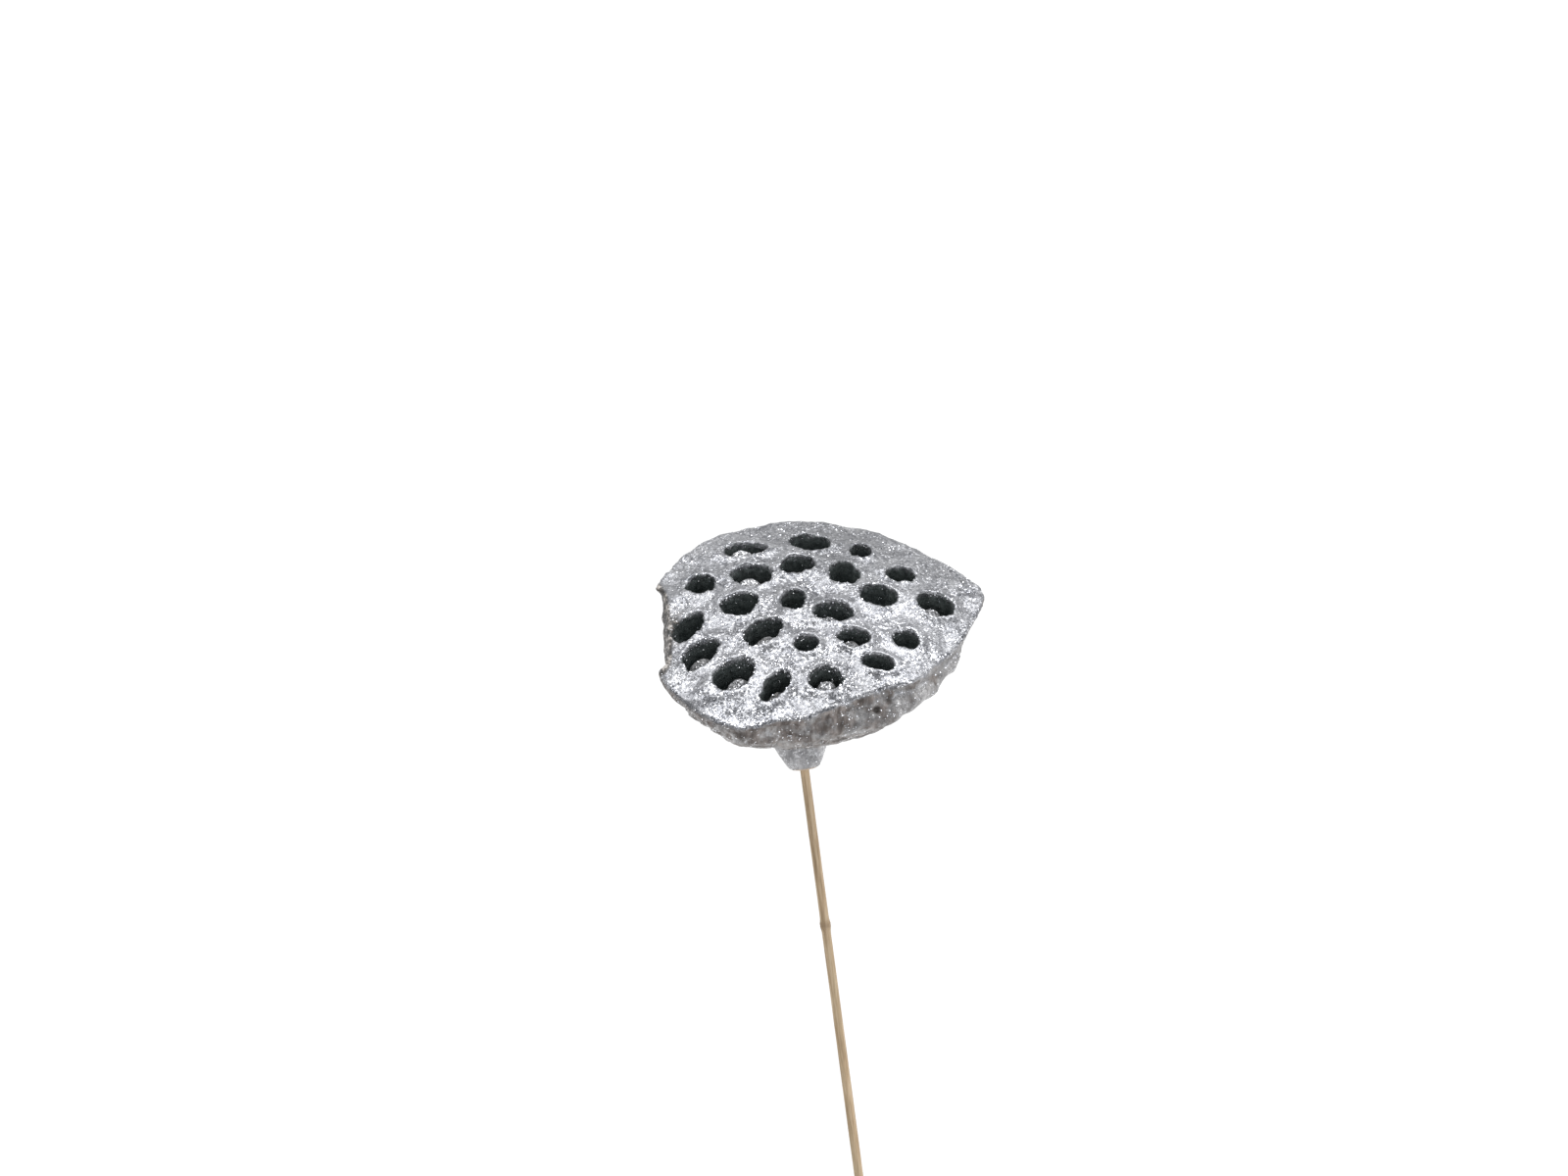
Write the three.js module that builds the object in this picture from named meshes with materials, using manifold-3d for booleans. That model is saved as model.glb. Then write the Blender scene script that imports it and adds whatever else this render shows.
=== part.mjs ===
// A dried lotus seed pod on a stick, sprayed silver and dusted with glitter, lying on a table.
//
// The pod is one grown piece: a domed face with a wavy rim and open seed pockets, a shallow bowl
// that is lumpy over its outer pockets, and a neck that nods over. Some pockets still hold their
// seed. A slim reed stick is pushed into a hole drilled up the neck. The pod lies on a small flat
// spot of its bowl and on the far end of the stick, so its face looks up at a slant.
//
// Millimetres, +Z up. The stick runs along -Y and the origin is the middle of the base of the box
// round the whole object. The pod is drawn in a frame of its own, with u across the face, v up the
// face and w straight out of it, and is then tilted into place.

import * as THREE from 'three';
import { mergeVertices } from 'three/addons/utils/BufferGeometryUtils.js';
import Module from 'manifold-3d';

const degrees = THREE.MathUtils.degToRad;

// How the object lies
const FACE_RISE = degrees(38); // how far the way the face looks is raised above the table
const POD_TURN = degrees(-7.6); // turns the pod about the vertical, so that the stick lies along -Y
const STICK_FALL = degrees(2.6); // slope of the stick, from the neck down to the table
const FLAT_DEPTH = 0.6; // what is worn off under the bowl, which leaves the flat spot

// Rim of the face: its radius and its rise at equal steps of angle, from +u towards +v
const RIM_RADII = [
  42.4, 48.4, 47.2, 45.6, 44.8, 46.4, 48.2, 49.8, 50.4, 51.8, 50.4, 49.8,
  45.6, 47.4, 50.2, 49.8, 47.8, 42.6, 39, 35, 33.4, 36.4, 36, 38,
];
const RIM_RISES = [
  0, 0.4, 0, -0.4, 0.2, 0.4, 0, 0.3, 0, -0.4, 0.2, 0.4,
  0, -0.6, -1.4, -1.8, -1.6, 0, 0.8, 1.2, 1.4, 0.8, 0.3, 0,
];
const RIM_MEAN = 46;
const RIM_EDGE = 1.1; // radius of the rounded edge
const DOME_RISE = 5; // middle of the face above its rim
const LIP_RISE = 0.7; // swelling of the face round each pocket
const LIP_SPREAD = 0.55; // width of the swelling as a share of the pocket

// Bowl and neck: distance along the pod's spine, and radius there
const BOWL = [
  [2.2, 45.4], [5, 43.8], [9, 41], [14, 37], [19, 32.2], [24, 26.4],
  [29, 20], [34, 13.9], [39, 9.8], [44, 7.5], [48.5, 5.3],
];
const BOWL_SHIFT = -6.4; // the bowl and neck sit off the middle of the face, along u
const SHIFT_DEPTH = 14;
const NECK_START = 28; // where the spine starts to bend
const NECK_BENT = 44; // where it has turned to the stick's direction
const NECK_END = 50.4;
const NECK_TIP = [[49.8, 4.4], [NECK_END, 3.2]]; // the blunt cut end
const LUMP_RISE = 1; // swelling of the bowl's side over each outer pocket
const LUMP_WIDTH = degrees(9);
const LUMP_DEPTH = 8;
const LUMP_REACH = 6.5;
const LUMP_FROM = 0.68; // how far out a pocket lies, as a share of the rim, to swell the side
// Places where the bowl's side stands out past the pinched rim, or falls short of it
const SIDE_SWELLS = [
  { angle: degrees(-38), width: degrees(30), rise: 1, depth: 11, reach: 9 },
  { angle: degrees(219), width: degrees(13), rise: -1.3, depth: 7, reach: 8 },
  { angle: degrees(247), width: degrees(15), rise: 2.4, depth: 9, reach: 8 },
];

// Seed pockets: middle (u, v), width, height and turn in degrees. Where a seed is left, also how far
// down its top lies, and which way it has slipped, in degrees from the pocket's own width.
const POCKETS = [
  { u: -21.9, v: 30.2, width: 12, height: 8, turn: 0, seedDown: 0.3, seedWay: 195 },
  { u: -2.8, v: 33.3, width: 12, height: 8.8, turn: 0, seedDown: 3.2, seedWay: -20 },
  { u: 11.7, v: 29, width: 6.8, height: 6.8, turn: 0 },
  { u: -6.7, v: 20.8, width: 9.6, height: 9.4, turn: -10, seedDown: 2.6, seedWay: -30 },
  { u: -19.5, v: 16.4, width: 11.4, height: 10.8, turn: -8, seedDown: 1.4, seedWay: 215 },
  { u: 6.7, v: 16.8, width: 9.2, height: 11.2, turn: 0 },
  { u: 22.9, v: 17.8, width: 9.2, height: 6.6, turn: -26 },
  { u: -34, v: 13.6, width: 8.2, height: 9.8, turn: 12 },
  { u: 16.1, v: 6.6, width: 10.4, height: 10.4, turn: 0 },
  { u: -22.9, v: 2.9, width: 11.6, height: 8.8, turn: 36 },
  { u: -7.8, v: 3.5, width: 7.2, height: 9, turn: 0 },
  { u: 3.2, v: -1.8, width: 10.8, height: 8.8, turn: -14, seedDown: 2.4, seedWay: 210 },
  { u: 32.1, v: 4.3, width: 10.8, height: 9.4, turn: 0, seedDown: 2, seedWay: 225 },
  { u: -37.2, v: -4.6, width: 8.2, height: 12.4, turn: -25 },
  { u: -16.3, v: -9.8, width: 12.8, height: 8.8, turn: 45, seedDown: 2.4, seedWay: -90 },
  { u: 8.7, v: -12.2, width: 8.8, height: 7.2, turn: 0, seedDown: 1.6, seedWay: 200 },
  { u: 23.3, v: -11, width: 7.8, height: 6.8, turn: 0 },
  { u: -33.3, v: -16.4, width: 12.8, height: 7.8, turn: 46, seedDown: 2.2, seedWay: 180 },
  { u: -4.4, v: -15.1, width: 6.6, height: 6.8, turn: 0 },
  { u: 15.2, v: -20.9, width: 9, height: 5.8, turn: -10 },
  { u: -24.1, v: -25.4, width: 13, height: 9.2, turn: 48, seedDown: 2.8, seedWay: -95 },
  { u: -12.8, v: -30.3, width: 6, height: 12, turn: -28, seedDown: 3.4, seedWay: -90 },
  { u: 0.8, v: -27.8, width: 9, height: 9, turn: 10, seedDown: 1.2, seedWay: -65 },
];
const POCKET_DEPTH = 12.5;
const POCKET_SPLAY = 0.7; // how far a pocket leans with the dome, as a share
// Pocket's outline: radius as a share of the mouth's, and depth as a share of the pocket's
const POCKET_PROFILE = [
  [0, 1], [0.45, 0.97], [0.8, 0.82], [1.03, 0.5], [1.05, 0.22], [0.98, 0.04], [1.03, -0.05], [1.2, -0.2],
];
const POCKET_CLEAR = 4.5; // how far the cutting shape stands out of the mouth

// Seeds
const SEED_GAP = 0.6;
const SEED_HALF_LENGTH = 4.6;
const SEED_SHARE = 0.66; // seed's width as a share of its pocket's
const SEED_SLIP = 0.9; // how far it has slipped, as a share of the room that its pocket leaves
// Seed's outline: radius and height, as shares of its half width and half length
const SEED_PROFILE = [
  [0, -1], [0.5, -0.87], [0.87, -0.5], [1, 0], [0.88, 0.46], [0.6, 0.79], [0.22, 0.95], [0, 1],
];

// Break in the rim at the outermost pocket: an upright lump taken out of the wall, its top leaning in
const BREAK_PLACE = [-51.3, 0.1, -3];
const BREAK_SIZE = [8, 13.4, 22];
const BREAK_LEAN = degrees(7);

// Pit in the bowl's side
const PIT_ANGLE = degrees(296);
const PIT_LENGTH = 4.4;
const PIT_OUT = 44.4;
const PIT_RADIUS = 1.2;

// Stick
const STICK_RADIUS = 1.32;
const STICK_HIDDEN = 14; // length pushed up the neck
const STICK_GAP = 0.3;
const STICK_SIDES = 12;
const STICK_NODES = [46, 151, 262]; // joints of the reed, from the neck
const STICK_SINK = 0.15; // what is worn off under its far end
const NODE_SWELL = 0.24;
const NODE_LENGTH = 2.6;

// Fineness of the solids
const FACE_RINGS = 15;
const ROUND = 6 * FACE_RINGS;
const BOWL_RINGS = 16;
const POCKET_SIDES = 14;
const SEED_SIDES = 12;

const silver = { color: 0xa4a6ac, roughness: 0.42, metalness: 0.75 };
const materials = {
  pod: new THREE.MeshStandardMaterial(silver),
  seed: new THREE.MeshStandardMaterial({ color: 0x74757a, roughness: 0.5, metalness: 0.6 }),
  stick: new THREE.MeshStandardMaterial({ color: 0xb89a72, roughness: 0.7, metalness: 0 }),
};

const wasm = await Module();
wasm.setup();

// Value at an angle of a list that goes once round, smooth between its entries
function roundValue(list, angle) {
  const place = ((angle / (2 * Math.PI)) * list.length + list.length) % list.length;
  const index = Math.floor(place);
  const t = place - index;
  const [a, b, c, d] = [-1, 0, 1, 2].map((step) => list[(index + step + list.length) % list.length]);
  return b + 0.5 * t * (c - a + t * (2 * a - 5 * b + 4 * c - d + t * (3 * (b - c) + d - a)));
}

const smooth = (t) => THREE.MathUtils.smoothstep(t, 0, 1);
const bell = (x) => Math.exp(-x * x);
const angleBetween = (a, b) => Math.atan2(Math.sin(a - b), Math.cos(a - b));

// Distance from a pocket's middle, where 1 is its mouth's edge
function pocketDistance(pocket, u, v) {
  const turn = degrees(pocket.turn);
  const along = (u - pocket.u) * Math.cos(turn) + (v - pocket.v) * Math.sin(turn);
  const across = (v - pocket.v) * Math.cos(turn) - (u - pocket.u) * Math.sin(turn);
  return Math.hypot(along / (pocket.width / 2), across / (pocket.height / 2));
}

// Height of the face over the rim's plane, without and with the swellings round the pockets
function domeHeight(u, v) {
  const angle = Math.atan2(v, u);
  const reach = Math.hypot(u, v) / roundValue(RIM_RADII, angle);
  return DOME_RISE * (1 - reach ** 2) + roundValue(RIM_RISES, angle) * reach ** 4;
}

function faceHeight(u, v) {
  const flat = POCKETS.map((pocket) => 1 - bell((pocketDistance(pocket, u, v) - 1) / LIP_SPREAD));
  return domeHeight(u, v) + LIP_RISE * (1 - flat.reduce((product, one) => product * one, 1));
}

// Swelling of the bowl's side over the pockets nearest the rim
const outerPockets = POCKETS.filter(({ u, v }) => (
  Math.hypot(u, v) > LUMP_FROM * roundValue(RIM_RADII, Math.atan2(v, u))
));

function sideLumps(angle, depth) {
  const near = outerPockets.map(({ u, v }) => bell(angleBetween(angle, Math.atan2(v, u)) / LUMP_WIDTH));
  const lump = LUMP_RISE * Math.max(...near) * bell((depth - LUMP_DEPTH) / LUMP_REACH);
  const swells = SIDE_SWELLS.map((swell) => (
    swell.rise * bell(angleBetween(angle, swell.angle) / swell.width) * bell((depth - swell.depth) / swell.reach)
  ));
  return swells.reduce((sum, one) => sum + one, lump);
}

// Frames: the pod's own frame into the model's
const podTurn = new THREE.Quaternion()
  .setFromAxisAngle(new THREE.Vector3(0, 0, 1), POD_TURN)
  .multiply(new THREE.Quaternion().setFromAxisAngle(new THREE.Vector3(1, 0, 0), FACE_RISE - Math.PI / 2));
const stickWay = new THREE.Vector3(0, -Math.cos(STICK_FALL), -Math.sin(STICK_FALL));
const stickWayInPod = stickWay.clone().applyQuaternion(podTurn.clone().invert());

// The pod's spine, straight down through the bowl, then round an arc into the stick's direction
const inward = new THREE.Vector3(0, 0, -1);
const bendAxis = inward.clone().cross(stickWayInPod).normalize();
const bendAngle = inward.angleTo(stickWayInPod);
const bendSide = bendAxis.clone().cross(inward);
const bendRadius = (NECK_BENT - NECK_START) / bendAngle;

function spineAt(length) {
  const straight = Math.min(length, NECK_START);
  const turned = THREE.MathUtils.clamp((length - NECK_START) / bendRadius, 0, bendAngle);
  const middle = new THREE.Vector3(BOWL_SHIFT * smooth(length / SHIFT_DEPTH), 0, -straight)
    .addScaledVector(inward, bendRadius * Math.sin(turned))
    .addScaledVector(bendSide, bendRadius * (1 - Math.cos(turned)))
    .addScaledVector(stickWayInPod, Math.max(0, length - NECK_BENT));
  return { middle, turn: new THREE.Quaternion().setFromAxisAngle(bendAxis, turned) };
}

// A point of the bowl's or neck's surface. The rim's wavy outline fades out down the bowl.
function bowlPoint(length, radius, angle) {
  const { middle, turn } = spineAt(length);
  const waviness = 0.35 * (1 - smooth(length / 30)) + 0.65 * (1 - smooth(length / 9));
  const out = radius * (1 + waviness * (roundValue(RIM_RADII, angle) / RIM_MEAN - 1)) + sideLumps(angle, length);
  const rise = roundValue(RIM_RISES, angle) * (1 - smooth(length / 10));
  return new THREE.Vector3(out * Math.cos(angle), out * Math.sin(angle), rise).applyQuaternion(turn).add(middle);
}

function bowlRing(length, radius) {
  return Array.from({ length: ROUND }, (_, i) => bowlPoint(length, radius, (i / ROUND) * 2 * Math.PI));
}

// The face, as rings of 6, 12, 18 and so on points, so that its triangles are of one size. Its
// outermost ring has as many points as a ring of the bowl.
function facePoints() {
  const points = [new THREE.Vector3(0, 0, faceHeight(0, 0))];
  for (let ring = 1; ring <= FACE_RINGS; ring++) {
    for (let i = 0; i < 6 * ring; i++) {
      const angle = (i / (6 * ring)) * 2 * Math.PI;
      const out = (ring / FACE_RINGS) * (roundValue(RIM_RADII, angle) - RIM_EDGE);
      const [u, v] = [out * Math.cos(angle), out * Math.sin(angle)];
      points.push(new THREE.Vector3(u, v, faceHeight(u, v)));
    }
  }
  return points;
}

function faceTriangles() {
  const pointAt = (ring, i) => (ring === 0 ? 0 : 1 + 3 * ring * (ring - 1) + (i % (6 * ring)));
  const corners = [];
  for (let ring = 0; ring < FACE_RINGS; ring++) {
    for (let sector = 0; sector < 6; sector++) {
      for (let i = 0; i <= ring; i++) {
        const inner = pointAt(ring, sector * ring + i);
        const outer = sector * (ring + 1) + i;
        corners.push(inner, pointAt(ring + 1, outer), pointAt(ring + 1, outer + 1));
        if (i < ring) corners.push(inner, pointAt(ring + 1, outer + 1), pointAt(ring, sector * ring + i + 1));
      }
    }
  }
  return corners;
}

// Triangles of a tube through rings of equal count, closed by a last point. The first ring starts at
// the index given, and each ring is listed anticlockwise as seen from before the first one.
function tubeTriangles(start, count, ringCount) {
  const corners = [];
  const last = start + count * ringCount;
  for (let i = 0; i < count; i++) {
    const j = (i + 1) % count;
    for (let ring = 0; ring < ringCount - 1; ring++) {
      const [a, b] = [start + ring * count + i, start + ring * count + j];
      corners.push(a, a + count, b + count, a, b + count, b);
    }
    corners.push(last, last - count + j, last - count + i);
  }
  return corners;
}

function surface(points, corners) {
  const geometry = new THREE.BufferGeometry().setFromPoints(points);
  geometry.setIndex(corners);
  return geometry;
}

// Between three.js geometry and the solids that can be cut and joined
function toSolid(geometry) {
  const bare = geometry.clone();
  bare.deleteAttribute('normal');
  bare.deleteAttribute('uv');
  const merged = mergeVertices(bare, 1e-4);
  const corners = merged.index.array;
  const triangles = [];
  for (let i = 0; i < corners.length; i += 3) {
    const [a, b, c] = corners.subarray(i, i + 3);
    if (a !== b && b !== c && c !== a) triangles.push(a, b, c);
  }
  const vertProperties = new Float32Array(merged.attributes.position.array);
  return new wasm.Manifold(new wasm.Mesh({ numProp: 3, vertProperties, triVerts: new Uint32Array(triangles) }));
}

function toGeometry(solid) {
  const mesh = solid.getMesh();
  const geometry = new THREE.BufferGeometry();
  geometry.setAttribute('position', new THREE.BufferAttribute(new Float32Array(mesh.vertProperties), 3));
  geometry.setIndex(new THREE.BufferAttribute(new Uint32Array(mesh.triVerts), 1));
  geometry.computeVertexNormals();
  return geometry;
}

// A turned shape with its axis along w
function turned(profile, sides) {
  const points = profile.map(([radius, height]) => new THREE.Vector2(radius, height));
  return new THREE.LatheGeometry(points, sides).rotateX(Math.PI / 2);
}

// Place of a pocket: its mouth's middle, and its turn with the slope of the dome
function pocketPlace(pocket) {
  const { u, v } = pocket;
  const step = 1;
  const slopeU = (domeHeight(u + step, v) - domeHeight(u - step, v)) / (2 * step);
  const slopeV = (domeHeight(u, v + step) - domeHeight(u, v - step)) / (2 * step);
  const out = new THREE.Vector3(-slopeU * POCKET_SPLAY, -slopeV * POCKET_SPLAY, 1).normalize();
  const turn = new THREE.Quaternion()
    .setFromUnitVectors(new THREE.Vector3(0, 0, 1), out)
    .multiply(new THREE.Quaternion().setFromAxisAngle(new THREE.Vector3(0, 0, 1), degrees(pocket.turn)));
  return { mouth: new THREE.Vector3(u, v, domeHeight(u, v) + LIP_RISE / 2), turn };
}

function pocketCutter(pocket) {
  const { mouth, turn } = pocketPlace(pocket);
  const profile = POCKET_PROFILE.map(([radius, down]) => [radius, -down * POCKET_DEPTH]);
  const widest = profile.at(-1)[0];
  const shape = turned([...profile, [widest, POCKET_CLEAR], [0, POCKET_CLEAR]], POCKET_SIDES);
  shape.scale(pocket.width / 2, pocket.height / 2, 1).applyQuaternion(turn).translate(...mouth);
  return toSolid(shape);
}

function seedMesh(pocket, number) {
  const { mouth, turn } = pocketPlace(pocket);
  const halfWidth = (pocket.width / 2) * SEED_SHARE;
  const halfHeight = (pocket.height / 2) * SEED_SHARE;
  const halfLength = Math.min(SEED_HALF_LENGTH, (POCKET_DEPTH - pocket.seedDown) / 2 - SEED_GAP);
  const shape = turned(SEED_PROFILE, SEED_SIDES);
  shape.scale(halfWidth, halfHeight, halfLength);
  const mesh = new THREE.Mesh(shape, materials.seed);
  mesh.name = `seed_${String(number).padStart(2, '0')}`;
  mesh.quaternion.copy(turn);
  // The seed has slipped to one side of its pocket
  const way = degrees(pocket.seedWay);
  const room = 1 - SEED_SHARE - SEED_GAP / (Math.min(pocket.width, pocket.height) / 2);
  const across = SEED_SLIP * room * (pocket.width / 2) * Math.cos(way);
  const along = SEED_SLIP * room * (pocket.height / 2) * Math.sin(way);
  const offset = new THREE.Vector3(across, along, -pocket.seedDown - halfLength).applyQuaternion(turn);
  mesh.position.copy(mouth).add(offset);
  return mesh;
}

// The rough, squarish lump that is missing from the rim
function breakCutter() {
  const lump = new THREE.IcosahedronGeometry(1, 2);
  const place = lump.attributes.position;
  for (let i = 0; i < place.count; i++) {
    const point = new THREE.Vector3().fromBufferAttribute(place, i);
    const rough = 1 + 0.035 * Math.sin(9 * point.y + 4 * point.z) + 0.025 * Math.sin(17 * point.y - 5 * point.x);
    const roundness = Math.sqrt(Math.hypot(point.x ** 2, point.y ** 2, point.z ** 2));
    point.multiplyScalar(rough / roundness);
    place.setXYZ(i, ...point);
  }
  lump.scale(...BREAK_SIZE).rotateY(BREAK_LEAN).rotateX(Math.PI / 2 - FACE_RISE);
  return toSolid(lump.translate(...BREAK_PLACE));
}

function pitCutter() {
  const pit = new THREE.IcosahedronGeometry(PIT_RADIUS, 1);
  return toSolid(pit.translate(...bowlPoint(PIT_LENGTH, PIT_OUT, PIT_ANGLE)));
}

// The pod's whole body, in its own frame
function podBody() {
  const edge = [0.5, 1].map((turn) => bowlRing(
    RIM_EDGE * (1 - Math.cos((turn * Math.PI) / 2)),
    RIM_MEAN - RIM_EDGE * (1 - Math.sin((turn * Math.PI) / 2)),
  ));
  const profile = new THREE.SplineCurve(BOWL.map(([length, radius]) => new THREE.Vector2(length, radius)));
  const bowl = profile.getPoints(BOWL_RINGS).map(({ x, y }) => bowlRing(x, y));
  const end = NECK_TIP.map(([length, radius]) => bowlRing(length, radius));
  const rings = [...edge, ...bowl, ...end];
  const face = facePoints();
  const points = [...face, ...rings.flat(), spineAt(NECK_END).middle];
  const corners = [...faceTriangles(), ...tubeTriangles(face.length - ROUND, ROUND, rings.length + 1)];
  return toSolid(surface(points, corners));
}

// The stick, along +Z from the inside of the neck, with the swollen joints of the reed
function stickShape(length, radiusGain = 0) {
  const stations = [0, 0.6];
  const step = 16;
  for (let z = step; z < length - 4; z += step) stations.push(z);
  for (const node of STICK_NODES) {
    for (const side of [-1, -0.5, 0, 0.5, 1]) stations.push(STICK_HIDDEN + node + side * NODE_LENGTH);
  }
  const kept = [...stations.filter((z) => z < length - 1), length].sort((a, b) => a - b);
  const rings = kept.map((z) => {
    const swell = Math.max(...STICK_NODES.map((node) => bell((z - STICK_HIDDEN - node) / (NODE_LENGTH / 2))));
    const radius = STICK_RADIUS * (1 + NODE_SWELL * swell) + radiusGain - (z === 0 ? 0.4 : 0);
    return Array.from({ length: STICK_SIDES }, (_, i) => {
      const angle = ((i + 0.5) / STICK_SIDES) * 2 * Math.PI;
      return new THREE.Vector3(radius * Math.cos(angle), -radius * Math.sin(angle), z);
    });
  });
  const points = [new THREE.Vector3(), ...rings.flat(), new THREE.Vector3(0, 0, length)];
  const cap = Array.from({ length: STICK_SIDES }, (_, i) => [0, 1 + i, 1 + ((i + 1) % STICK_SIDES)]).flat();
  return surface(points, [...cap, ...tubeTriangles(1, STICK_SIDES, rings.length)]);
}

const stickTurn = new THREE.Quaternion().setFromUnitVectors(new THREE.Vector3(0, 0, 1), stickWay);
const body = podBody();

// Height of the pod: its lowest point, less what is worn off, touches the table
const lowest = (() => {
  const shape = toGeometry(body).applyQuaternion(podTurn);
  shape.computeBoundingBox();
  return shape.boundingBox.min.z;
})();
const podPlace = new THREE.Vector3(0, 0, -lowest - FLAT_DEPTH);

// The stick starts inside the neck and runs on until its end is down on the table
const neckTip = spineAt(NECK_END).middle.applyQuaternion(podTurn).add(podPlace);
const stickStart = neckTip.clone().addScaledVector(stickWay, -STICK_HIDDEN);
const stickLength = (stickStart.z - STICK_RADIUS * Math.cos(STICK_FALL) + STICK_SINK) / Math.sin(STICK_FALL);

// What is below the table, in the model's frame
const table = new THREE.BoxGeometry(2000, 2000, 100).translate(0, 0, -50);

function tableIn(place, turn) {
  const out = new THREE.Matrix4().compose(place, turn, new THREE.Vector3(1, 1, 1)).invert();
  return toSolid(table.clone().applyMatrix4(out));
}

function socketCutter() {
  const hole = new THREE.CylinderGeometry(STICK_RADIUS + STICK_GAP, STICK_RADIUS + STICK_GAP, 40, 16);
  hole.rotateX(Math.PI / 2).translate(0, 0, 20 - STICK_GAP);
  const turn = new THREE.Quaternion().setFromUnitVectors(new THREE.Vector3(0, 0, 1), stickWayInPod);
  const start = spineAt(NECK_END).middle.addScaledVector(stickWayInPod, -STICK_HIDDEN);
  return toSolid(hole.applyQuaternion(turn).translate(...start));
}

function podMesh() {
  const cutters = [
    ...POCKETS.map(pocketCutter),
    breakCutter(),
    pitCutter(),
    socketCutter(),
    tableIn(podPlace, podTurn),
  ];
  const solid = cutters.reduce((left, cutter) => left.subtract(cutter), body);
  const mesh = new THREE.Mesh(toGeometry(solid), materials.pod);
  mesh.name = 'pod';
  return mesh;
}

function stickMesh() {
  const solid = toSolid(stickShape(stickLength)).subtract(tableIn(stickStart, stickTurn));
  const mesh = new THREE.Mesh(toGeometry(solid), materials.stick);
  mesh.name = 'stick';
  mesh.position.copy(stickStart);
  mesh.quaternion.copy(stickTurn);
  return mesh;
}

const pod = new THREE.Group();
pod.position.copy(podPlace);
pod.quaternion.copy(podTurn);
pod.add(podMesh());
POCKETS.filter((pocket) => pocket.seedDown !== undefined).forEach((pocket, i) => pod.add(seedMesh(pocket, i + 1)));

const model = new THREE.Group();
model.add(pod, stickMesh());
model.updateMatrixWorld(true);
const box = new THREE.Box3().setFromObject(model, true);
const middle = box.getCenter(new THREE.Vector3());
model.position.set(-middle.x, -middle.y, 0);
model.updateMatrixWorld(true);

export default model;
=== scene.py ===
"""Looks of a dried lotus pod on a stick, sprayed silver and dusted with glitter.

The pod, its seeds and the stick are built again here from the same dimensions as the solids, at a
finer grain, and stand for them. Shapes are worked out in millimetres in the pod's own frame, with
u across the face, v up the face and w out of it, and are then tilted into the model's frame.
"""
import math
from collections import namedtuple

import bpy
import numpy as np
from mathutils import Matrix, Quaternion, Vector, noise


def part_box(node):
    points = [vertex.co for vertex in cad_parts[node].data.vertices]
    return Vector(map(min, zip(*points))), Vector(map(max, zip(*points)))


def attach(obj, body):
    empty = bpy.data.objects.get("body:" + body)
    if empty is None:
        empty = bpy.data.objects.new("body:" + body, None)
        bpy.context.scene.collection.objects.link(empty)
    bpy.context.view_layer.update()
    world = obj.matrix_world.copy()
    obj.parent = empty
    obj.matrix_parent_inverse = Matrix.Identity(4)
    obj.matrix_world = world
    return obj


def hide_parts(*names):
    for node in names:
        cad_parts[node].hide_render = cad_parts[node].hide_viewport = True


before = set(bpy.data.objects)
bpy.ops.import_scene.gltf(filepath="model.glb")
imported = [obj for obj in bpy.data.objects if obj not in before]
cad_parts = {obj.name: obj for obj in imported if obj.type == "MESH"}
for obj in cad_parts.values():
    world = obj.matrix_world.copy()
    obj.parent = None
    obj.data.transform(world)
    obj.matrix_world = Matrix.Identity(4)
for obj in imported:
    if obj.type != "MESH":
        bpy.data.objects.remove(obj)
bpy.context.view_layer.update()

MM = 0.001
rng = np.random.default_rng(23)

# How the pod lies, and where the middle of its face is
FACE_RISE = math.radians(38)
POD_TURN = math.radians(-7.6)
STICK_FALL = math.radians(2.6)
POD_PLACE = np.array([-0.291, 165.867, 38.716])

# Rim of the face: radius and rise at equal steps of angle, from +u towards +v
RIM_RADII = np.array([
    42.4, 48.4, 47.2, 45.6, 44.8, 46.4, 48.2, 49.8, 50.4, 51.8, 50.4, 49.8,
    45.6, 47.4, 50.2, 49.8, 47.8, 42.6, 39, 35, 33.4, 36.4, 36, 38,
])
RIM_RISES = np.array([
    0, 0.4, 0, -0.4, 0.2, 0.4, 0, 0.3, 0, -0.4, 0.2, 0.4,
    0, -0.6, -1.4, -1.8, -1.6, 0, 0.8, 1.2, 1.4, 0.8, 0.3, 0,
])
RIM_MEAN = 46
RIM_EDGE = 1.1
DOME_RISE = 5
LIP_RISE = 0.7
LIP_SPREAD = 0.55

# What the fine face adds: a fuller lip, a raised edge at each mouth, and a drop that makes up for it
LIP_FULLER = 0.4
MOUTH_RISE = 0.1
MOUTH_REACH = 1.1
MOUTH_WIDTH = 0.13
FACE_DROP = 0.12

# Bowl and neck: distance along the pod's spine, and radius there
BOWL = np.array([
    [2.2, 45.4], [5, 43.8], [9, 41], [14, 37], [19, 32.2], [24, 26.4], [29, 20], [34, 13.9], [39, 9.8],
    [44, 7.5], [48.5, 5.3],
])
BOWL_SHIFT = -6.4
SHIFT_DEPTH = 14
NECK_START = 28
NECK_BENT = 44
NECK_END = 50.4
NECK_TIP = [(49.8, 4.4), (NECK_END, 3.2)]

# How far down the bowl the rim's outline, its rise and the face's roughness carry on
OUTLINE_FADES = [(0.35, 30), (0.65, 9)]
RISE_FADE = 10
ROUGH_FADE = 3

# Swellings of the side below the outer pockets
LUMP_RISE = 1
LUMP_WIDTH = math.radians(9)
LUMP_DEPTH = 8
LUMP_REACH = 6.5
LUMP_FROM = 0.68

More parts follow.
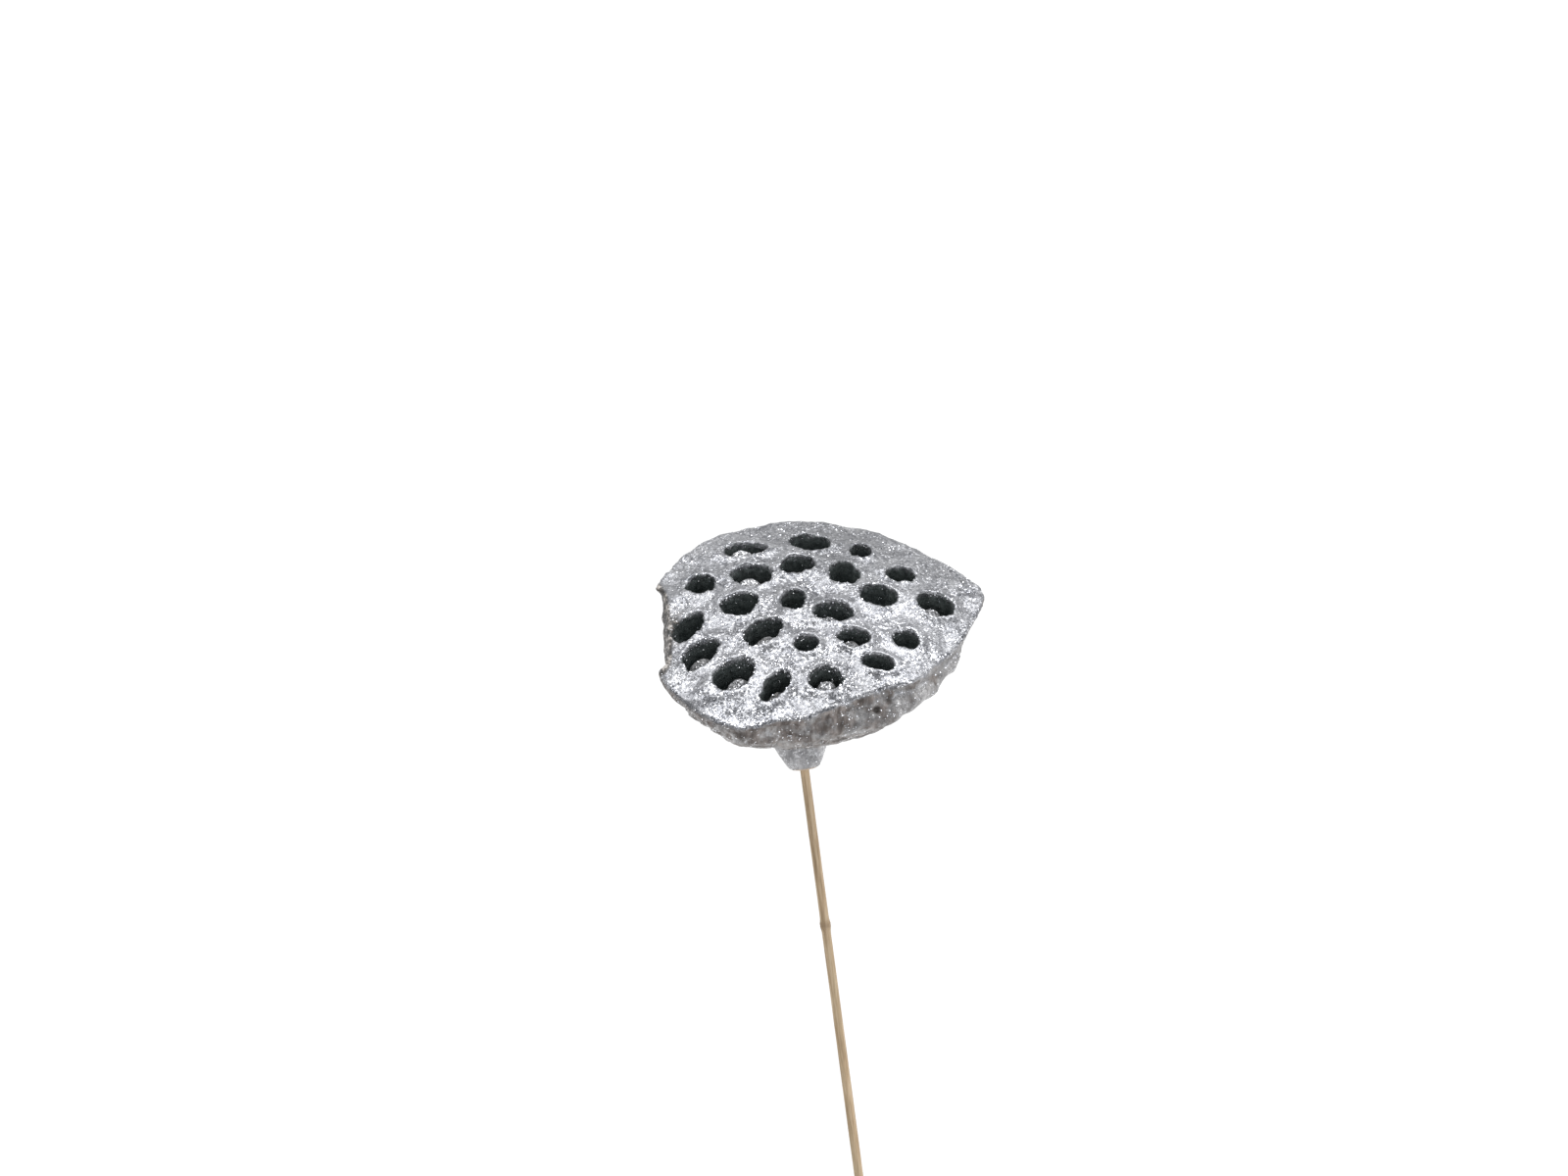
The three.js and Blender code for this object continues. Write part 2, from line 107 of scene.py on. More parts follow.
# Places where the side stands out past the rim or falls short of it: angle, width, rise, depth and
# reach. The last one is left out of the solids.
SIDE_SWELLS = [
    (math.radians(-38), math.radians(30), 1, 11, 9),
    (math.radians(219), math.radians(13), -1.3, 7, 8),
    (math.radians(247), math.radians(15), 2.4, 9, 8),
    (math.radians(-15), math.radians(13), 1.9, 7, 6),
]

# Seed pockets: middle, width, height and turn in degrees. Where a seed is left, also how far down its
# top lies, which way it has slipped, in degrees from the pocket's own width, and how far its top is
# painted.
Pocket = namedtuple("Pocket", "u v width height turn seed_down seed_way painted", defaults=(None, None, 0))
POCKETS = [
    Pocket(-21.9, 30.2, 12, 8, 0, 0.3, 195, 1),
    Pocket(-2.8, 33.3, 12, 8.8, 0, 3.2, -20, 0.25),
    Pocket(11.7, 29, 6.8, 6.8, 0),
    Pocket(-6.7, 20.8, 9.6, 9.4, -10, 2.6, -30, 0.35),
    Pocket(-19.5, 16.4, 11.4, 10.8, -8, 1.4, 215, 0.9),
    Pocket(6.7, 16.8, 9.2, 11.2, 0),
    Pocket(22.9, 17.8, 9.2, 6.6, -26),
    Pocket(-34, 13.6, 8.2, 9.8, 12),
    Pocket(16.1, 6.6, 10.4, 10.4, 0),
    Pocket(-22.9, 2.9, 11.6, 8.8, 36),
    Pocket(-7.8, 3.5, 7.2, 9, 0),
    Pocket(3.2, -1.8, 10.8, 8.8, -14, 2.4, 210, 0.85),
    Pocket(32.1, 4.3, 10.8, 9.4, 0, 2, 225, 0.7),
    Pocket(-37.2, -4.6, 8.2, 12.4, -25),
    Pocket(-16.3, -9.8, 12.8, 8.8, 45, 2.4, -90, 0.4),
    Pocket(8.7, -12.2, 8.8, 7.2, 0, 1.6, 200, 0.6),
    Pocket(23.3, -11, 7.8, 6.8, 0),
    Pocket(-33.3, -16.4, 12.8, 7.8, 46, 2.2, 180, 0.35),
    Pocket(-4.4, -15.1, 6.6, 6.8, 0),
    Pocket(15.2, -20.9, 9, 5.8, -10),
    Pocket(-24.1, -25.4, 13, 9.2, 48, 2.8, -95, 0.85),
    Pocket(-12.8, -30.3, 6, 12, -28, 3.4, -90, 0.15),
    Pocket(0.8, -27.8, 9, 9, 10, 1.2, -65, 0.95),
]
POCKET_DEPTH = 12.5
POCKET_SPLAY = 0.7
POCKET_UNEVEN = 0.055
POCKET_CLEAR = 4.5

# A pocket from its bottom to past its mouth: share of the mouth's size, and share of the depth
POCKET_PROFILE = [
    (0, 1), (0.45, 0.97), (0.8, 0.82), (1.03, 0.5), (1.05, 0.22), (0.98, 0.04), (1.03, -0.05), (1.2, -0.2),
]

SEED_GAP = 0.6
SEED_HALF_LENGTH = 4.6
SEED_SHARE = 0.66
SEED_SLIP = 0.9
SEED_UNEVEN = 0.02
SEED_PROFILE = [
    (0, -1), (0.5, -0.87), (0.87, -0.5), (1, 0), (0.88, 0.46), (0.6, 0.79), (0.22, 0.95), (0, 1),
]
NUB_RISE = 0.07
NUB_WIDTH = 0.13

# Break in the rim: an upright lump taken out of the wall, its top leaning in
BREAK_PLACE = np.array([-51.3, 0.1, -3])
BREAK_SIZE = np.array([8, 13.4, 22])
BREAK_LEAN = math.radians(7)

PIT_ANGLE = math.radians(296)
PIT_LENGTH = 4.4
PIT_OUT = 44.4
PIT_RADIUS = 1.2

# The wall between the broken rim and the outermost pocket, where the paint is off
THIN_WALL = Pocket(-41.8, -3.5, 2.6, 6, 0)

# Painted light and shade: patches where the face's colour is made lighter or darker for how the light
# falls across it: u, v, radius and change
FACE_LIGHT_AND_SHADE = [
    (2, 36, 18, -0.24),
    (32, 26, 16, -0.12),
    (-9, 1, 9, -0.18),
    (20, 3, 11, 0.3),
    (-36, -28, 9, -0.12),
    (10, -29, 9, -0.24),
    (-21, -36, 10, 0.38),
    (22, -21, 8, 0.42),
    (43, -17, 9, 0.3),
]
# Painted light: how much lighter the neck's colour is made towards its end, where it faces up
NECK_PAINTED_LIGHT = 0.35

STICK_RADIUS = 1.32
STICK_HIDDEN = 14
STICK_NODES = [46, 151, 262]
STICK_TAPER = 0.2
NODE_SWELL = 0.24
NODE_LENGTH = 2.6
NODE_SPAN = 4
RIDGE_DEPTH = 0.06
RIDGE_LENGTH = 0.28

# Room in the neck round the stick and past its end
HOLE_GAP = 0.35
HOLE_SPARE = 1.2
HOLE_CLEAR = 4

# Glitter flakes: how many, their sizes, their tilt off the surface, and their thickness
POD_FLAKES = 10000
SEED_FLAKES = 45
FLAKE_SIZES = (0.11, 0.29)
FLAKE_TILT = 0.42
FLAKE_THICKNESS = 0.14
FLAKE_CLEAR = 1.5

# Fineness of each surface
POD_SIDES = 560
FACE_ROWS = 100
EDGE_ROWS = 5
BOWL_ROWS = 96
POCKET_SIDES = 56
POCKET_ROWS = 40
HOLE_SIDES = 40
SEED_SIDES = 48
SEED_ROWS = 44
STICK_SIDES = 40
STICK_STEP = 1.25
NODE_STEP = 0.22
VOXEL = 0.62

FLOOR_REACH = 3
LENS = 50
SENSOR = 36
PIXELS = (1600, 1200)
PIXELS_PER_MM = 3.64
FACE_PIXEL = (838, 635)


# Numbers along curves


def bell(x):
    return np.exp(-(x ** 2))


def smooth(t):
    t = np.clip(t, 0, 1)
    return t * t * (3 - 2 * t)


def blended(a, b, c, d, t):
    """A smooth curve from b to c, with a before them and d after them."""
    return b + 0.5 * t * (c - a + t * (2 * a - 5 * b + 4 * c - d + t * (3 * (b - c) + d - a)))


def round_value(values, angle):
    """Value at an angle of a list that goes once round, smooth between its entries."""
    place = np.mod(angle / (2 * math.pi) * len(values), len(values))
    index = np.floor(place).astype(int)
    a, b, c, d = (values[(index + step) % len(values)] for step in (-1, 0, 1, 2))
    return blended(a, b, c, d, place - index)


def through(points, count):
    """Points evenly spaced by number on a smooth curve through the given ones."""
    points = np.asarray(points, float)
    padded = np.vstack([2 * points[0] - points[1], points, 2 * points[-1] - points[-2]])
    place = np.linspace(0, len(points) - 1 - 1e-9, count)
    index = place.astype(int)
    a, b, c, d = (padded[index + step] for step in range(4))
    return blended(a, b, c, d, (place - index)[:, None])


def circle(count):
    """Angles evenly spaced once round, in one row."""
    return np.linspace(0, 2 * math.pi, count, endpoint=False)[None, :]


def stacked(x, y, z):
    return np.stack(np.broadcast_arrays(x, y, z), axis=-1)


def field(points, size, seed):
    """Smooth noise from -1 to 1 at each point, with features of about the given size."""
    flat = np.asarray(points, float).reshape(-1, 3) / size + 17.3 * seed
    return np.array([noise.noise(Vector(p)) for p in flat]).reshape(np.shape(points)[:-1])


# Frames


def turning(quaternion):
    return np.array(quaternion.to_matrix())


def upright_to(way):
    """The turning that takes straight up to the given direction."""
    return turning(Vector((0, 0, 1)).rotation_difference(Vector(way)))


POD_ROTATION = Quaternion((0, 0, 1), POD_TURN) @ Quaternion((1, 0, 0), FACE_RISE - math.pi / 2)
POD_MATRIX = turning(POD_ROTATION)
BREAK_TURN = turning(Quaternion((1, 0, 0), math.pi / 2 - FACE_RISE) @ Quaternion((0, 1, 0), BREAK_LEAN))
INWARD = np.array([0.0, 0.0, -1.0])
stick_way = np.array([0, -math.cos(STICK_FALL), -math.sin(STICK_FALL)])
stick_way_in_pod = POD_MATRIX.T @ stick_way
bend_axis = np.cross(INWARD, stick_way_in_pod)
bend_axis /= np.linalg.norm(bend_axis)
bend_angle = math.acos(INWARD @ stick_way_in_pod)
bend_side = np.cross(bend_axis, INWARD)
bend_radius = (NECK_BENT - NECK_START) / bend_angle


def in_model(points):
    """Points of the pod's frame, in millimetres, as metres in the model's frame."""
    return (points @ POD_MATRIX.T + POD_PLACE) * MM


def turned_about(points, axis, angle):
    """Points turned about an axis through the origin, each by its own angle."""
    cos, sin = np.cos(angle)[..., None], np.sin(angle)[..., None]
    along = (points @ axis)[..., None] * axis
    across = np.cross(np.broadcast_to(axis, points.shape), points)
    return points * cos + across * sin + along * (1 - cos)


def spine_at(length):
    """Middle of the pod's section at each distance along its spine, and how far it has turned."""
    length = np.asarray(length, float)
    turned = np.clip((length - NECK_START) / bend_radius, 0, bend_angle)
    middle = -np.minimum(length, NECK_START)[..., None] * np.array([0, 0, 1.0])
    middle = middle + (BOWL_SHIFT * smooth(length / SHIFT_DEPTH))[..., None] * np.array([1.0, 0, 0])
    middle = middle + (bend_radius * np.sin(turned))[..., None] * INWARD
    middle = middle + (bend_radius * (1 - np.cos(turned)))[..., None] * bend_side
    middle = middle + np.maximum(0, length - NECK_BENT)[..., None] * stick_way_in_pod
    return middle, turned


neck_end, _ = spine_at(NECK_END)


# The pod's form


def pocket_distance(pocket, u, v):
    """Distance from a pocket's middle, where 1 is its mouth's edge."""
    cos, sin = math.cos(math.radians(pocket.turn)), math.sin(math.radians(pocket.turn))
    along = (u - pocket.u) * cos + (v - pocket.v) * sin
    across = (v - pocket.v) * cos - (u - pocket.u) * sin
    return np.hypot(along / (pocket.width / 2), across / (pocket.height / 2))


def reach_of(u, v):
    """Distance from the face's middle, where 1 is the rim."""
    return np.hypot(u, v) / round_value(RIM_RADII, np.arctan2(v, u))


def dome_height(u, v):
    """Height of the face without its pockets and their lips."""
    angle = np.arctan2(v, u)
    reach = reach_of(u, v)
    return DOME_RISE * (1 - reach ** 2) + round_value(RIM_RISES, angle) * reach ** 4


def face_height(u, v):
    """Height of the face, with the swelling round each pocket and a thin raised edge at its mouth."""
    flat = np.ones_like(u)
    edge = np.zeros_like(u)
    for pocket in POCKETS:
        distance = pocket_distance(pocket, u, v)
        flat = flat * (1 - bell((distance - 1) / LIP_SPREAD))
        edge = np.maximum(edge, bell((distance - MOUTH_REACH) / MOUTH_WIDTH))
    lips = (LIP_RISE + LIP_FULLER) * (1 - flat)
    return dome_height(u, v) + lips + MOUTH_RISE * edge - FACE_DROP


def angle_between(a, b):
    return np.arctan2(np.sin(a - b), np.cos(a - b))


outer_angles = [
    math.atan2(pocket.v, pocket.u) for pocket in POCKETS if reach_of(pocket.u, pocket.v) > LUMP_FROM
]


def side_lumps(angle, length):
    """How far the side stands out past the plain bowl."""
    nearest = np.zeros(np.broadcast(angle, length).shape)
    for outer in outer_angles:
        nearest = np.maximum(nearest, bell(angle_between(angle, outer) / LUMP_WIDTH))
    lumps = LUMP_RISE * nearest * bell((length - LUMP_DEPTH) / LUMP_REACH)
    for middle, width, rise, depth, reach in SIDE_SWELLS:
        lumps = lumps + rise * bell(angle_between(angle, middle) / width) * bell((length - depth) / reach)
    return lumps


def bowl_detail(length, angle):
    """What the smooth bowl lacks: a groove under the rim, ribs that run to the neck, and wrinkles."""
    shown = smooth(length / ROUGH_FADE)
    ring = stacked(np.cos(angle), np.sin(angle), length / 60)
    ribs = field(ring * 14, 1, 1) + 0.6 * field(ring * 31, 1, 2)
    creases = bell(field(ring * 9, 1, 9) / 0.1) + 0.6 * bell(field(ring * 17, 1, 10) / 0.1)
    along = stacked(np.cos(angle) * 22, np.sin(angle) * 22, length / 3.2)
    wrinkles = field(along, 2.4, 3)
    dents = field(along, 5.5, 4)
    thin = 1 - 0.75 * smooth((length - 26) / 14)
    groove = -0.8 * bell((length - 3) / 1.2)
    return groove + shown * thin * (0.6 * ribs + 0.5 * wrinkles + 0.9 * dents - 0.8 * creases)


def bowl_points(length, radius, angle):
    """Points of the bowl's and neck's surface. The rim's wavy outline fades out down the bowl."""
    middle, turned = spine_at(length)
    waviness = sum(share * (1 - smooth(length / depth)) for share, depth in OUTLINE_FADES)
    outline = 1 + waviness * (round_value(RIM_RADII, angle) / RIM_MEAN - 1)
    out = radius * outline + side_lumps(angle, length) + bowl_detail(length, angle)
    rise = round_value(RIM_RISES, angle) * (1 - smooth(length / RISE_FADE))
    local = stacked(out * np.cos(angle), out * np.sin(angle), rise)
    return turned_about(local, bend_axis, turned) + middle


def face_detail(points):
    """Fine lumps of the face, and creases that run out to its rim."""
    u, v = points[..., 0], points[..., 1]
    reach = reach_of(u, v)
    lumps = 0.8 * field(points, 7, 5) + 0.45 * field(points, 2.8, 6) + 0.2 * field(points, 1.3, 7)
    angle = np.arctan2(v, u)
    spokes = field(stacked(np.cos(angle) * 34, np.sin(angle) * 34, reach * 2), 1, 8)
    return lumps + 0.3 * spokes * smooth((reach - 0.78) / 0.16)


# Meshes


def capped(rings):
    """Rings, and the middles of the first and the last, for grid_mesh."""
    return rings, rings[0].mean(0), rings[-1].mean(0)


def grid_mesh(name, rings, first, last):
    """A closed mesh through rings of equal count, with a point at each end."""
    count = rings.shape[1]
    points = np.vstack([first[None], rings.reshape(-1, 3), last[None]])
    index = 1 + np.arange(rings.shape[0] * count).reshape(rings.shape[0], count)
    beside = np.roll(index, -1, axis=1)
    quads = np.stack([index[:-1], index[1:], beside[1:], beside[:-1]], axis=-1).reshape(-1, 4)
    top = np.stack([np.zeros(count, int), index[0], beside[0]], axis=-1)
    bottom = np.stack([np.full(count, len(points) - 1), beside[-1], index[-1]], axis=-1)
    mesh = bpy.data.meshes.new(name)
    mesh.from_pydata(points.tolist(), [], [*top.tolist(), *quads.tolist(), *bottom.tolist()])
    mesh.update()
    return mesh


def joined_mesh(name, parts):
    """One mesh of several closed grids that don't touch."""
    points, faces, start = [], [], 0
    for part in parts:
        mesh = grid_mesh("part", *part)
        points += [tuple(vertex.co) for vertex in mesh.vertices]
        faces += [[start + i for i in polygon.vertices] for polygon in mesh.polygons]
        start += len(mesh.vertices)
        bpy.data.meshes.remove(mesh)
    mesh = bpy.data.meshes.new(name)
    mesh.from_pydata(points, [], faces)
    mesh.update()
    return mesh


def add_object(name, data):
    obj = bpy.data.objects.new(name, data)
    bpy.context.scene.collection.objects.link(obj)
    return obj


def read(items, name, width, kind=float):
    """One property of every item of a mesh's list, as the rows of an array."""
    values = np.empty(len(items) * width, kind)
    items.foreach_get(name, values)
    return values.reshape(-1, width)


def coordinates(mesh):
    return read(mesh.vertices, "co", 3)


def normals_of(mesh):
    return read(mesh.vertex_normals, "vector", 3)


def edges_of(mesh):
    return read(mesh.edges, "vertices", 2, int)


def triangles_of(mesh):
    mesh.calc_loop_triangles()
    return read(mesh.loop_triangles, "vertices", 3, int)


def set_attribute(mesh, name, values):
    layer = mesh.attributes.new(name, "FLOAT", "POINT")
    layer.data.foreach_set("value", np.asarray(values, np.float32))


def shade_smooth(mesh):
    for polygon in mesh.polygons:
        polygon.use_smooth = True


# The pod's surface and what is cut out of it


def outer_surface():
    """The pod before its pockets are cut: one fine grid from the middle of the face to the neck's end."""
    angle = circle(POD_SIDES)
    share = np.linspace(0, 1, FACE_ROWS + 1)[1:, None]
    out = share * (round_value(RIM_RADII, angle) - RIM_EDGE)
    u, v = out * np.cos(angle), out * np.sin(angle)
    face = stacked(u, v, face_height(u, v))
    face[..., 2] += face_detail(face)
    turn = np.linspace(0, math.pi / 2, EDGE_ROWS + 1)[1:, None]
    edge_length = RIM_EDGE * (1 - np.cos(turn))
    edge_radius = RIM_MEAN - RIM_EDGE * (1 - np.sin(turn))
    profile = through(BOWL, BOWL_ROWS)
    length = np.vstack([edge_length, profile[:, :1], [[tip[0]] for tip in NECK_TIP]])
    radius = np.vstack([edge_radius, profile[:, 1:], [[tip[1]] for tip in NECK_TIP]])
    bowl = bowl_points(length, radius, angle)
    # The face's roughness carries on over the rounded edge and fades out down the bowl
    carried = (face[-1, :, 2] - face_height(u[-1], v[-1]))[None, :]
    bowl[..., 2] += carried * (1 - smooth(length / ROUGH_FADE))
    middle = np.array([0, 0, face_height(np.zeros(1), np.zeros(1))[0]])
    return grid_mesh("pod_blank", np.vstack([face, bowl]), middle, neck_end)


def pocket_frame(pocket):
    """Middle of a pocket's mouth, and its turning with the slope of the dome."""
    beside, above = np.array([0, 1, -1, 0, 0]), np.array([0, 0, 0, 1, -1])
    middle, right, left, up, down = dome_height(pocket.u + beside, pocket.v + above)
    out = Vector(((left - right) / 2 * POCKET_SPLAY, (down - up) / 2 * POCKET_SPLAY, 1)).normalized()
    lean = Vector((0, 0, 1)).rotation_difference(out)
    turn = lean @ Quaternion((0, 0, 1), math.radians(pocket.turn))
    return np.array([pocket.u, pocket.v, middle + LIP_RISE / 2]), turning(turn)


def uneven(angle, number, size):
    """A slightly uneven outline, different for each number."""
    a, b, c = np.array([1.7, 4.1, 2.3]) * number
    waves = np.cos(2 * angle + a) + 0.8 * np.cos(3 * angle + b) + 0.6 * np.cos(5 * angle + c)
    waves = waves + 0.5 * np.cos(9 * angle + a + b) + 0.4 * np.cos(14 * angle + b + c)
    return 1 + size * waves


def pocket_cutters():
    angle = circle(POCKET_SIDES)
    parts = []
    for number, pocket in enumerate(POCKETS):
        place, turn = pocket_frame(pocket)
        profile = through([(out, -down * POCKET_DEPTH) for out, down in POCKET_PROFILE], POCKET_ROWS)
        profile = np.vstack([profile[1:], [[profile[-1, 0], POCKET_CLEAR]]])
        out = np.maximum(profile[:, :1], 0.02) * uneven(angle, number, POCKET_UNEVEN)
        x, y = out * np.cos(angle) * pocket.width / 2, out * np.sin(angle) * pocket.height / 2
        rings = stacked(x, y, profile[:, 1:])
        parts.append(capped(rings[::-1] @ turn.T + place))
    return parts


def block_distance(points):
    """Distance from the middle of a rounded block, where 1 is its surface."""
    return (points ** 4).sum(-1) ** 0.25


def ball(rows, sides, rough, seed, squarish=False):
    """Rings of a rough ball or rounded block with a radius of 1, and its two ends, for grid_mesh."""
    down = np.linspace(0, math.pi, rows + 2)[1:-1, None]
    angle = circle(sides)
    unit = stacked(np.sin(down) * np.cos(angle), np.sin(down) * np.sin(angle), np.cos(down))
    lumps = field(unit, 0.22, seed) + 1.4 * field(unit * [1, 1, 0.04], 0.11, seed + 1)
    if squarish:
        unit = unit / block_distance(unit)[..., None]
    return unit * (1 + rough * lumps)[..., None], np.array([0, 0, 1]), np.array([0, 0, -1])


pit_place = bowl_points(np.array(PIT_LENGTH), PIT_OUT, np.array(PIT_ANGLE))


def other_cutters():
    """The broken rim, the pit in the bowl's side and the hole up the neck."""
    block = ball(rows=60, sides=120, rough=0.07, seed=31, squarish=True)
    broken = [part * BREAK_SIZE @ BREAK_TURN.T + BREAK_PLACE for part in block]
    pit = [part * PIT_RADIUS + pit_place for part in ball(rows=16, sides=24, rough=0.1, seed=37)]
    angle = circle(HOLE_SIDES)
    radius = STICK_RADIUS + HOLE_GAP
    height = np.array([[-STICK_HIDDEN - HOLE_SPARE], [HOLE_CLEAR]])
    rings = stacked(radius * np.cos(angle), radius * np.sin(angle), height)
    hole = capped(rings[::-1] @ upright_to(stick_way_in_pod).T + neck_end)
    return [broken, pit, hole]


def applied(obj):
    """The object's mesh with its modifiers applied. The object itself is removed."""
    graph = bpy.context.evaluated_depsgraph_get()
    mesh = bpy.data.meshes.new_from_object(obj.evaluated_get(graph))
    bpy.data.objects.remove(obj)
    mesh.materials.clear()
    return mesh


def cut_pod():
    """The pod with everything cut out, as one mesh of even grain."""
    blank = add_object("pod_blank", outer_surface())
    cutters = [
        add_object("pocket_cutters", joined_mesh("pocket_cutters", pocket_cutters())),
        *[add_object("cutter", grid_mesh("cutter", *part)) for part in other_cutters()],
    ]
    for cutter in cutters:
        cut = blank.modifiers.new("cut", "BOOLEAN")
        cut.operation, cut.object, cut.solver = "DIFFERENCE", cutter, "MANIFOLD"
    remesh = blank.modifiers.new("even", "REMESH")
    remesh.mode, remesh.voxel_size = "VOXEL", VOXEL
    mesh = applied(blank)
    for cutter in cutters:
        bpy.data.objects.remove(cutter)
    return mesh


def relaxed(points, edges, rounds, share):
    """Points moved towards the middle of their neighbours."""
    count = np.bincount(edges.ravel(), minlength=len(points))[:, None]
    for _ in range(rounds):
        total = np.zeros_like(points)
        np.add.at(total, edges[:, 0], points[edges[:, 1]])
        np.add.at(total, edges[:, 1], points[edges[:, 0]])
        points = points + share * (total / count - points)
    return points


def inside_pockets(points, normals):
    """How deep each point is inside a pocket, from 0 at the face to 1 at its bottom."""
    deep = np.zeros(len(points))
    for pocket in POCKETS:
        place, turn = pocket_frame(pocket)
        local = (points - place) @ turn
        height = local[:, 2]
        distance = np.hypot(local[:, 0] / (pocket.width / 2), local[:, 1] / (pocket.height / 2))
        facing = (normals @ turn)[:, :2]
        outward = (facing * local[:, :2]).sum(1) / np.maximum(np.linalg.norm(local[:, :2], axis=1), 1e-6)
        here = (distance < 1.22) & (height < 0.3) & (height > -POCKET_DEPTH - 1) & (outward < 0.45)
        deep = np.where(here, np.maximum(deep, np.clip(-height / POCKET_DEPTH, 0.02, 1)), deep)
    return deep


# Pod

pod_mesh = cut_pod()
points = relaxed(coordinates(pod_mesh), edges_of(pod_mesh), rounds=3, share=0.5)
pod_mesh.vertices.foreach_set("co", points.ravel())
pod_mesh.update()
normals = normals_of(pod_mesh)
deep = inside_pockets(points, normals)
u, v = points[:, 0], points[:, 1]
rim_angle = np.arctan2(v, u)
below_rim = round_value(RIM_RISES, rim_angle) - points[:, 2]

# The side starts where the surface turns over the rim, along a wavering line, and fades at the neck
turned_over = smooth((0.6 + 0.35 * field(points, 3.5, 15) - normals[:, 2]) / 0.3)
side = turned_over * (reach_of(u, v) > 0.88) * (deep == 0)
side = np.maximum(side, smooth((below_rim - 2.5) / 2) * (deep == 0))
side = side * (1 - 0.45 * smooth((below_rim - 20) / 14))

# Where the brown skin shows: in patches, least on the right and on the neck
skin_share = 0.66 - 0.5 * bell(angle_between(rim_angle, math.radians(-18)) / math.radians(38))
skin_share = skin_share - 0.4 * smooth((below_rim - 14) / 16)
skin_share = skin_share + 0.45 * field(points, 6, 13) + 0.3 * field(points, 2.2, 14)
skin = side * smooth((skin_share - 0.35) / 0.25)

# Painted light and shade on the face and the neck, painted shade in the pit, and where the paint is off
painted_light = 1 + sum(change * bell(np.hypot(u - cu, v - cv) / radius) for cu, cv, radius, change in FACE_LIGHT_AND_SHADE)
painted_light = np.where(below_rim > 10, 1 + NECK_PAINTED_LIGHT * smooth((below_rim - 24) / 8), painted_light)
pit = smooth((PIT_RADIUS + 0.15 - np.linalg.norm(points - pit_place, axis=1)) / 0.4)
torn = smooth((1.13 - block_distance((points - BREAK_PLACE) @ BREAK_TURN / BREAK_SIZE)) / 0.07)
thin_wall = bell(np.hypot((u - THIN_WALL.u) / THIN_WALL.width, (v - THIN_WALL.v) / THIN_WALL.height))
torn = np.maximum(torn, 1.3 * thin_wall * (below_rim < 4)).clip(0, 1)
cut_end = smooth(((points - neck_end) @ stick_way_in_pod + 0.7) / 0.5) * (below_rim > 40)

# Rough edges at the mouths of the pockets, and a fine grain everywhere
mouth = np.max([bell((pocket_distance(pocket, u, v) - 1) / 0.14) for pocket in POCKETS], axis=0)
mouth = mouth * (below_rim < 0)
points = points + normals * (0.5 * mouth * field(points, 1.5, 16))[:, None]
grain = 0.06 * field(points, 0.95, 11) + 0.08 * field(points * [1, 1, 0.25], 0.8, 12) * (side + 1.6 * torn)
points = points + normals * grain[:, None]
placed = in_model(points)
placed[:, 2] = np.maximum(placed[:, 2], 0)
pod_mesh.vertices.foreach_set("co", placed.ravel())
shade_smooth(pod_mesh)
layers = {"deep": deep, "side": side, "skin": skin, "torn": torn, "cut_end": cut_end}
for name, values in {**layers, "painted_light": painted_light, "pit": pit}.items():
    set_attribute(pod_mesh, name, values)
pod_mesh.update()
pod = add_object("pod_shell", pod_mesh)


# Seeds


def height_in_pocket(mesh, place, turn):
    """Height of each vertex over the pocket's mouth, in millimetres."""
    in_pod = (coordinates(mesh) / MM - POD_PLACE) @ POD_MATRIX
    return ((in_pod - place) @ turn)[:, 2]


def seed_object(pocket, number):
    """A seed with a wrinkled skin and a small nub, slipped to the low side of its pocket."""
    place, turn = pocket_frame(pocket)
    half_width, half_height = pocket.width / 2 * SEED_SHARE, pocket.height / 2 * SEED_SHARE
    half_length = min(SEED_HALF_LENGTH, (POCKET_DEPTH - pocket.seed_down) / 2 - SEED_GAP)
    profile = through(SEED_PROFILE, SEED_ROWS)[::-1]
    nub = NUB_RISE * bell(profile[:, 0] / NUB_WIDTH) * (profile[:, 1] > 0)
    angle = circle(SEED_SIDES)
    out = np.maximum(profile[1:-1, :1], 0.01) * uneven(angle, number + 40, SEED_UNEVEN)
    x, y = out * np.cos(angle), out * np.sin(angle)
    z = (profile[:, 1] + nub)[1:-1, None] * half_length
    unit = stacked(x, y, z / half_length)
    skin = 0.97 + 0.06 * field(unit * [1, 1, 0.4], 0.3, number + 50)
    skin = skin + 0.05 * field(unit, 0.13, number + 60)
    rings = stacked(x * half_width * skin, y * half_height * skin, z)
    way = math.radians(pocket.seed_way)
    slip = SEED_SLIP * (1 - SEED_SHARE - SEED_GAP / (min(pocket.width, pocket.height) / 2))
    across, along = slip * pocket.width / 2 * math.cos(way), slip * pocket.height / 2 * math.sin(way)
    rings = (rings + np.array([across, along, -pocket.seed_down - half_length])) @ turn.T + place
    mesh = grid_mesh(f"seed_{number:02d}", *(in_model(part) for part in capped(rings)))
    shade_smooth(mesh)
    top = smooth((height_in_pocket(mesh, place, turn) + pocket.seed_down + 4.5) / 4)
    set_attribute(mesh, "dusted", top * pocket.painted)
    return add_object(f"seed_skin_{number:02d}", mesh)


seeded = [pocket for pocket in POCKETS if pocket.seed_down is not None]
seeds = [seed_object(pocket, number) for number, pocket in enumerate(seeded, 1)]


# Glitter


def scattered(mesh, weights, count):
    """Random places on a mesh, and the normals there, more of them where the weights are high."""
    corners = triangles_of(mesh)
    place = coordinates(mesh)
    normal = normals_of(mesh)
    a, b, c = (place[corners[:, i]] for i in range(3))
    area = np.linalg.norm(np.cross(b - a, c - a), axis=1)
    chance = area * weights[corners].mean(axis=1)
    picked = rng.choice(len(corners), count, p=chance / chance.sum())
    share = rng.dirichlet([1, 1, 1], count)
    chosen = corners[picked]
    places = (place[chosen] * share[..., None]).sum(1)
    normals = (normal[chosen] * share[..., None]).sum(1)
    return places, normals / np.linalg.norm(normals, axis=1)[:, None]


